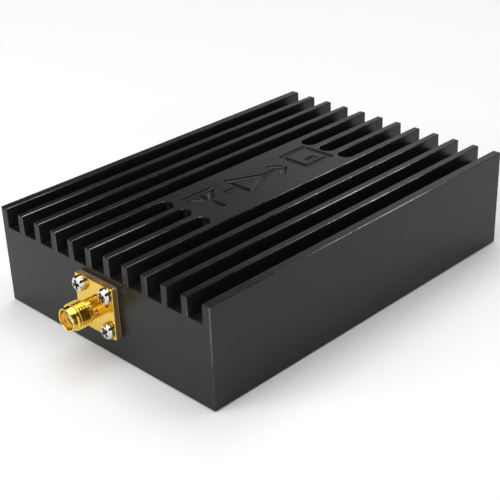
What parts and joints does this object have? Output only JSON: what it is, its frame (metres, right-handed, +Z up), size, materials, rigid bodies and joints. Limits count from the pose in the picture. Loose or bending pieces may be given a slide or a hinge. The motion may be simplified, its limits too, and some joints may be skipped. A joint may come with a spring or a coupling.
{
  "type": "cellular signal booster",
  "caption": "In-line cellular signal booster: a finned black aluminium case with a gold coaxial flange jack at each end, a power inlet and a status light.",
  "frame": {"origin": "middle of the case's underside, which is also the bottom centre of the whole object's box", "axes": "+Z up through the fins, +Y along the fins from the front jack to the rear jack, +X across the fins"},
  "size_m": [0.0698, 0.119, 0.0246],
  "materials": {
    "black_anodised": "satin black anodised, milled, with bare worn edges",
    "gold_plate": "bright gold plate on turned brass",
    "nickel_plate": "bright nickel plate on steel",
    "black_steel": "black oxide",
    "white_ptfe": "waxy white",
    "green_board": "glossy solder mask over woven glass",
    "tin_plate": "dull tin plate",
    "black_plastic": "moulded, fine grain",
    "chip_black": "moulded epoxy",
    "ceramic": "fired ceramic",
    "clear_lens": "clear polished acrylic",
    "grey_pad": "soft matte silicone"
  },
  "bodies": {
    "root": {"case_body": "black_anodised", "bottom_cover": "black_anodised", "cover_screw_1": "black_steel", "cover_screw_2": "black_steel", "cover_screw_3": "black_steel", "cover_screw_4": "black_steel", "cover_screw_5": "black_steel", "cover_screw_6": "black_steel", "front_jack_shell": "gold_plate", "front_jack_insulator": "white_ptfe", "front_jack_contact": "gold_plate", "front_jack_screw_1": "nickel_plate", "front_jack_screw_2": "nickel_plate", "front_jack_screw_3": "nickel_plate", "front_jack_screw_4": "nickel_plate", "rear_jack_shell": "gold_plate", "rear_jack_insulator": "white_ptfe", "rear_jack_contact": "gold_plate", "rear_jack_screw_1": "nickel_plate", "rear_jack_screw_2": "nickel_plate", "rear_jack_screw_3": "nickel_plate", "rear_jack_screw_4": "nickel_plate", "power_inlet_body": "black_plastic", "power_inlet_pin": "nickel_plate", "power_inlet_spring": "tin_plate", "status_light_pipe": "clear_lens", "circuit_board": "green_board", "board_screw_1": "nickel_plate", "board_screw_2": "nickel_plate", "board_screw_3": "nickel_plate", "board_screw_4": "nickel_plate", "board_screw_5": "nickel_plate", "low_band_screening_can": "tin_plate", "low_band_thermal_pad": "grey_pad", "low_band_antenna_duplexer": "ceramic", "low_band_device_duplexer": "ceramic", "low_band_uplink_amplifier": "chip_black", "low_band_downlink_amplifier": "chip_black", "high_band_screening_can": "tin_plate", "high_band_thermal_pad": "grey_pad", "high_band_antenna_duplexer": "ceramic", "high_band_device_duplexer": "ceramic", "high_band_uplink_amplifier": "chip_black", "high_band_downlink_amplifier": "chip_black", "status_led": "clear_lens", "power_inductor": "chip_black", "voltage_regulator": "chip_black", "control_processor": "chip_black", "clock_crystal": "tin_plate", "input_capacitor": "tin_plate", "output_capacitor": "tin_plate"}
  },
  "joints": []
}
